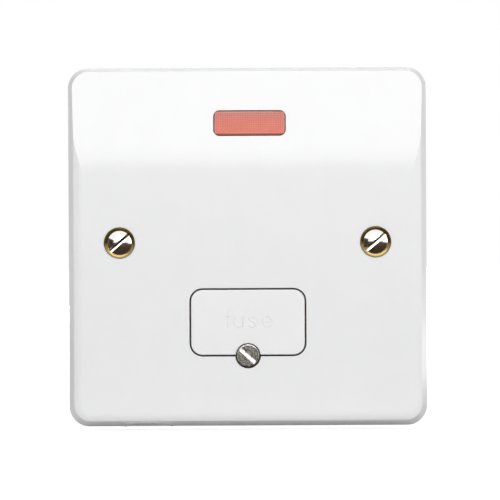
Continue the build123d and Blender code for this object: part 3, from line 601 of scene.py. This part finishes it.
def lamp_resistor():
    """Lacquered body with fuller ends, lying along X."""
    low, high, middle = box_mm("lamp_resistor")
    half, r = (high.x - low.x) / 2, (high.z - low.z) / 2
    bell = [(0.4, -half), (0.8, 0.06 - half), (r - 0.1, 0.35 - half), (r, 0.75 - half), (r, 1.25 - half),
            (r - 0.14, 1.65 - half), (r - 0.17, 2.0 - half)]
    profile = [(0, -half)] + bell + [(x, -z) for x, z in reversed(bell)] + [(0, half)]
    piece = new_piece("banded_resistor", lathe(profile, 48), finishes["resistor_lacquer"].material)
    piece.matrix_world = Matrix.Translation(middle * MM) @ Matrix.Rotation(math.radians(90), 4, "Y")
    dress(piece, "base", "resistor_lacquer", "lamp_resistor")


def lamp_envelope():
    """Hollow glass tube along X, with a domed tip and a thick foot round the leads."""
    low, high, middle = box_mm("neon_lamp")
    half, r, wall, edge, segments = (high.x - low.x) / 2, (high.z - low.z) / 2, 0.5, 0.3, 48
    dome = half - r
    outer = [(0, -half)] + arc((r - edge, edge - half), edge, -90, 0, 5)
    outer += arc((0, dome), r, 0, 90, 14)[:-1] + [(0, half)]
    inner = [(0, -dome), (r - wall, -dome)] + arc((0, dome), r - wall, 0, 90, 12)[:-1] + [(0, half - wall)]
    vertices, faces = lathe(outer, segments)
    hollow, lining = lathe(inner, segments)
    faces += [tuple(len(vertices) + v for v in reversed(face)) for face in lining]
    piece = new_piece("lamp_envelope", (vertices + hollow, faces), finishes["lamp_glass"].material)
    piece.matrix_world = Matrix.Translation(middle * MM) @ Matrix.Rotation(math.radians(90), 4, "Y")
    dress(piece, "base", "lamp_glass", "neon_lamp")


fuse_caps()
lamp_resistor()
lamp_envelope()


# Neon lens

def facet_frame():
    """Frame of the leaning facet at the middle of the lens: across, up the facet, and outwards."""
    tilt = math.radians(10)
    plate_out = -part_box("front_plate")[0].y / MM
    crease, height = 19.4, 28.2
    across = Vector((1, 0, 0))
    up = Vector((0, math.sin(tilt), math.cos(tilt)))
    out = Vector((0, -math.cos(tilt), math.sin(tilt)))
    middle = Vector((box_mm("neon_lens")[2].x, (height - crease) * math.tan(tilt) - plate_out, height)) * MM
    return Matrix.Translation(middle) @ Matrix((across, up, out)).transposed().to_4x4()


def rounded_loop(width, height, radius, per_corner=8):
    """Points round a rectangle with round corners, counter-clockwise."""
    points = []
    for sx, sy, start in ((1, 1, 0), (-1, 1, 90), (-1, -1, 180), (1, -1, 270)):
        centre = (sx * (width / 2 - radius), sy * (height / 2 - radius))
        points += arc(centre, radius, start, start + 90, per_corner)
    return points


def prism_field(across, up, pitch, level, depth):
    """Rows of small pyramids, with the numbers of the points round the field's edge."""
    vertices, faces = [], []
    for j in range(up + 1):
        for i in range(across + 1):
            vertices.append(((i - across / 2) * pitch, (j - up / 2) * pitch, level))
    for j in range(up):
        for i in range(across):
            corner = j * (across + 1) + i
            square = (corner, corner + 1, corner + across + 2, corner + across + 1)
            vertices.append(((i + 0.5 - across / 2) * pitch, (j + 0.5 - up / 2) * pitch, level + depth))
            faces += [(square[k], square[(k + 1) % 4], len(vertices) - 1) for k in range(4)]
    bottom = list(range(across + 1))
    right = [j * (across + 1) + across for j in range(1, up + 1)]
    top = [up * (across + 1) + i for i in range(across - 1, -1, -1)]
    left = [j * (across + 1) for j in range(up - 1, 0, -1)]
    return vertices, faces, bottom + right + top + left


def neon_lens():
    """Window with a rolled edge and a front cut into fine pyramids, and a flange behind the plate."""
    width, height, corner, back, seat = 16.9, 6.0, 1.4, -3.15, -2.25
    pitch, border = 0.43, 0.5
    flange = rounded_loop(width=19.3, height=8.4, radius=0.3)
    loops = [(flange, back), (flange, seat)]
    rolled_edge = ((0.0, seat), (0.0, LENS_LINES - 0.1), (0.05, LENS_LINES - 0.04), (0.17, LENS_LINES))
    for inset, level in rolled_edge:
        loops.append((rounded_loop(width - 2 * inset, height - 2 * inset, corner - inset), level))
    count = len(loops[0][0])
    vertices = [(x, y, level) for loop, level in loops for x, y in loop]
    faces = [tuple(range(count - 1, -1, -1))]
    for i in range(len(loops) - 1):
        for j in range(count):
            k = (j + 1) % count
            faces.append((i * count + j, i * count + k, (i + 1) * count + k, (i + 1) * count + j))
    counts = [int((size - border) / pitch) for size in (width, height)]
    field, cells, edge = prism_field(*counts, pitch, LENS_LINES, LENS_CUT)
    base = len(vertices)
    vertices += field
    faces += [tuple(base + v for v in cell) for cell in cells]
    piece = new_piece("prismatic_lens", (vertices, faces), finishes["red_lens"].material)
    bridge(piece, list(range(base - count, base)), [base + v for v in edge])
    piece.matrix_world = facet_frame()
    dress(piece, "base", "red_lens", "neon_lens")


def bridge(piece, *loops):
    """Fills the ring between two closed loops of points."""
    work = bmesh.new()
    work.from_mesh(piece.data)
    work.verts.ensure_lookup_table()
    edges = []
    for loop in loops:
        for a, b in zip(loop, loop[1:] + loop[:1]):
            edges.append(work.edges.get((work.verts[a], work.verts[b])))
    bmesh.ops.bridge_loops(work, edges=edges)
    bmesh.ops.recalc_face_normals(work, faces=work.faces)
    work.to_mesh(piece.data)
    work.free()
    smooth(piece.data, 20)


neon_lens()


# Lettering

LETTERS = {
    "f": [[(0.8, 4.05), (0.42, 4.22), (0.05, 3.95), (-0.05, 3.3), (-0.05, 1.6), (-0.05, 0.0)],
          [(-0.65, 2.55), (0.0, 2.55), (0.7, 2.55)]],
    "u": [[(-0.95, 2.65), (-0.95, 1.8), (-0.93, 0.95), (-0.6, 0.28), (0.05, 0.1), (0.65, 0.4), (0.95, 1.0)],
          [(0.95, 2.65), (0.95, 1.3), (0.95, 0.0)]],
    "s": [[(0.78, 2.15), (0.3, 2.6), (-0.4, 2.5), (-0.68, 1.98), (-0.3, 1.55), (0.35, 1.25), (0.75, 0.75),
           (0.4, 0.2), (-0.3, 0.12), (-0.8, 0.55)]],
    "e": [[(-0.9, 1.42), (0.0, 1.42), (0.93, 1.42), (0.72, 2.25), (0.0, 2.65), (-0.72, 2.25), (-0.98, 1.4),
           (-0.72, 0.5), (0.05, 0.1), (0.85, 0.52)]],
    "L": [[(-0.5, 2.0), (-0.5, 0.0), (0.6, 0.0)]],
    "N": [[(-0.65, 0.0), (-0.65, 2.0), (0.65, 0.0), (0.65, 2.0)]],
    "E": [[(0.6, 2.0), (-0.5, 2.0), (-0.5, 0.0), (0.6, 0.0)], [(-0.5, 1.0), (0.4, 1.0)]],
}


def raised_letter(name, letter, stroke, relief, handles, material):
    """One letter in rounded raised strokes, drawn in X and Y and standing up along Z."""
    curve = bpy.data.curves.new(name, "CURVE")
    curve.dimensions = "3D"
    curve.bevel_depth = stroke / 2 * MM
    curve.bevel_resolution = 3
    curve.use_fill_caps = True
    curve.resolution_u = 6
    for points in LETTERS[letter]:
        line = curve.splines.new("BEZIER")
        line.bezier_points.add(len(points) - 1)
        for point, (x, y) in zip(line.bezier_points, points):
            point.co = Vector((x, y, 0)) * MM
            point.handle_left_type = point.handle_right_type = handles
    drawn = link_object(name, curve)
    graph = bpy.context.evaluated_depsgraph_get()
    mesh = bpy.data.meshes.new_from_object(drawn.evaluated_get(graph))
    bpy.data.objects.remove(drawn)
    mesh.transform(Matrix.Diagonal((1, 1, 2 * relief / stroke, 1)))
    mesh.materials.clear()
    mesh.materials.append(material)
    smooth(mesh, 50)
    return link_object(name, mesh)


def lettering():
    """The word on the carrier's door and a letter under each rear terminal."""
    upright = Matrix.Rotation(math.radians(90), 4, "X")
    door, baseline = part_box("fuse_carrier")[0].y, -19.9
    white, nylon = finishes["white_carrier"].material, finishes["white_nylon"].material
    for letter, x in zip("fuse", (-4.64, -2.05, 1.0, 4.6)):
        name = "letter_" + letter
        piece = raised_letter(name, letter, stroke=0.52, relief=0.17, handles="AUTO", material=white)
        piece.matrix_world = Matrix.Translation((x * MM, door, baseline * MM)) @ upright
        dress(piece, "carrier", "white_carrier")
    tray_back, first, pitch, rear_baseline = 3.75, -20, 8, 2.6
    for index, letter in enumerate("LNNEEL"):
        name = f"rear_{letter}_{index + 1}"
        piece = raised_letter(name, letter, stroke=0.4, relief=0.18, handles="VECTOR", material=nylon)
        spot = Matrix.Translation(Vector((first + pitch * index, tray_back, rear_baseline)) * MM)
        piece.matrix_world = spot @ Matrix.Rotation(math.pi, 4, "Z") @ upright
        dress(piece, "base", "white_nylon")


lettering()


# Stage, light and camera

FLOOR_GAP = 0.6
FLOOR_LEVEL = cad_box[0].z / MM - FLOOR_GAP


def seen_directly(tree):
    """One where a camera, a reflection or a look through glass meets a surface, and zero for other light."""
    path = tree.nodes.new("ShaderNodeLightPath")
    seen = path.outputs["Is Camera Ray"]
    for kind in ("Is Glossy Ray", "Is Transmission Ray"):
        either = tree.nodes.new("ShaderNodeMath")
        either.operation = "MAXIMUM"
        tree.links.new(seen, either.inputs[0])
        tree.links.new(path.outputs[kind], either.inputs[1])
        seen = either.outputs["Value"]
    return seen


def floor_material():
    """White floor that keeps the shadow under the plate and goes over into pure white further out."""
    material = bpy.data.materials.new("studio_floor")
    material.use_nodes = True
    tree = material.node_tree
    shader = tree.nodes["Principled BSDF"]
    shader.inputs["Base Color"].default_value = (0.86, 0.86, 0.86, 1)
    shader.inputs["Roughness"].default_value = 0.8
    shader.inputs["Emission Color"].default_value = (1, 1, 1, 1)
    place_on_floor = tree.nodes.new("ShaderNodeTexCoord")
    distance = tree.nodes.new("ShaderNodeVectorMath")
    distance.operation = "LENGTH"
    tree.links.new(place_on_floor.outputs["Object"], distance.inputs[0])
    lift = tree.nodes.new("ShaderNodeMapRange")
    near, far, shaded, white = 0.06, 0.3, 0.57, 1.0
    for key, value in (("From Min", near), ("From Max", far), ("To Min", shaded), ("To Max", white)):
        lift.inputs[key].default_value = value
    tree.links.new(distance.outputs["Value"], lift.inputs["Value"])
    strength = tree.nodes.new("ShaderNodeMath")
    strength.operation = "MULTIPLY"
    tree.links.new(seen_directly(tree), strength.inputs[0])
    tree.links.new(lift.outputs["Result"], strength.inputs[1])
    tree.links.new(strength.outputs["Value"], shader.inputs["Emission Strength"])
    return material


def sheet(name, corners, material):
    """One flat four-sided piece of the stage."""
    piece = new_piece(name, (corners, [(0, 1, 2, 3)]), material)
    return piece


def floor():
    """Wide white floor just under the plate."""
    reach = 4000
    corners = [(-reach, -reach, 0), (reach, -reach, 0), (reach, reach, 0), (-reach, reach, 0)]
    sheet("floor", corners, floor_material()).location.z = FLOOR_LEVEL * MM


def cloth(name, colour):
    """Dull cloth of one colour."""
    material = bpy.data.materials.new(name)
    material.use_nodes = True
    shader = material.node_tree.nodes["Principled BSDF"]
    shader.inputs["Base Color"].default_value = (*colour, 1)
    shader.inputs["Roughness"].default_value = 0.9
    shader.inputs["Specular IOR Level"].default_value = 0.1
    return material


def dark_cards():
    """Black cloth low before the plate and to its left, and grey behind it, seen only in reflections."""
    black, grey = cloth("black_cloth", (0.05, 0.032, 0.015)), cloth("grey_cloth", (0.6, 0.6, 0.6))
    low, side, near, before, behind = FLOOR_LEVEL + 0.2, 900, 4, -900, 600
    before_top, left_top, behind_top, floor_right = 30, 165, 271, 90

    def lying(x_start, x_stop, y_start, y_stop):
        spots = [(x_start, y_start), (x_stop, y_start), (x_stop, y_stop), (x_start, y_stop)]
        return [(x, y, low) for x, y in spots]

    def standing(start, stop, top):
        return [(*start, low), (*stop, low), (*stop, top), (*start, top)]

    cards = [
        sheet("cloth_below", lying(-side, side, near, before), black),
        sheet("cloth_before", standing((-side, before), (side, before), before_top), black),
        sheet("cloth_left", standing((-400, -500), (-400, -60), left_top), black),
        sheet("cloth_behind", standing((-350, behind), (300, behind), behind_top), grey),
        sheet("cloth_on_floor", lying(-side, floor_right, near, behind), grey),
    ]
    for card in cards:
        card.visible_camera = False
        card.visible_diffuse = False
        card.visible_shadow = False
        card.visible_transmission = False


def world():
    """White to the eye and in reflections, and a dimmer even light on everything else."""
    studio = bpy.data.worlds.new("studio")
    bpy.context.scene.world = studio
    studio.use_nodes = True
    tree = studio.node_tree
    tree.nodes.clear()
    shaders = []
    fill_strength, seen_strength = 0.42, 1.0
    for strength in (fill_strength, seen_strength):
        background = tree.nodes.new("ShaderNodeBackground")
        background.inputs["Color"].default_value = (1, 1, 1, 1)
        background.inputs["Strength"].default_value = strength
        shaders.append(background)
    mix = tree.nodes.new("ShaderNodeMixShader")
    tree.links.new(seen_directly(tree), mix.inputs["Fac"])
    tree.links.new(shaders[0].outputs["Background"], mix.inputs[1])
    tree.links.new(shaders[1].outputs["Background"], mix.inputs[2])
    output = tree.nodes.new("ShaderNodeOutputWorld")
    tree.links.new(mix.outputs["Shader"], output.inputs["Surface"])


def softbox(name, azimuth, elevation, distance, width, height, power, aim=(0, -5, -1)):
    """Area light aimed at a point in mm, by its direction seen from the plate's front."""
    light = bpy.data.lights.new(name, "AREA")
    light.shape = "RECTANGLE"
    light.size = width
    light.size_y = height
    light.energy = power
    lamp = link_object(name, light)
    lamp.visible_camera = False
    a, e = math.radians(azimuth), math.radians(elevation)
    offset = Vector((math.sin(a) * math.cos(e), -math.cos(a) * math.cos(e), math.sin(e))) * distance
    lamp.location = Vector(aim) * MM + offset
    lamp.rotation_euler = offset.to_track_quat("Z", "Y").to_euler()


def lights():
    """By azimuth and elevation in degrees, distance, width and height in metres, and power in watts."""
    softbox("key_softbox", 4, 30, 0.95, 0.8, 0.56, 5.1)
    softbox("side_softbox", 78, 12, 1.1, 0.5, 0.5, 1.2)
    softbox("left_softbox", -80, 8, 1.1, 0.5, 0.5, 0.9)
    softbox("back_softbox", 180, 10, 1.0, 0.4, 0.5, 3.2)
    under = cad_box[0].z / MM
    softbox("under_reflector", 0, -90, 0.0003, 0.1, 0.036, 0.0012, aim=(0, -6, under))


def camera():
    """Straight at the plate from a normal viewing distance, rolled by a fraction of a degree."""
    sensor, focal_length, roll_angle, spot = 36, 133.7, -0.29, Vector((0.57, -446.5, -1.8))
    data = bpy.data.cameras.new("camera")
    data.sensor_width = sensor
    data.lens = focal_length
    data.clip_start = 0.01
    eye = link_object("camera", data)
    roll = Matrix.Rotation(math.radians(roll_angle), 4, "Z")
    look = Matrix.Rotation(math.radians(90), 4, "X")
    eye.matrix_world = Matrix.Translation(spot * MM) @ look @ roll
    bpy.context.scene.camera = eye


floor()
dark_cards()
world()
lights()
camera()
bpy.context.scene.view_settings.view_transform = "Standard"
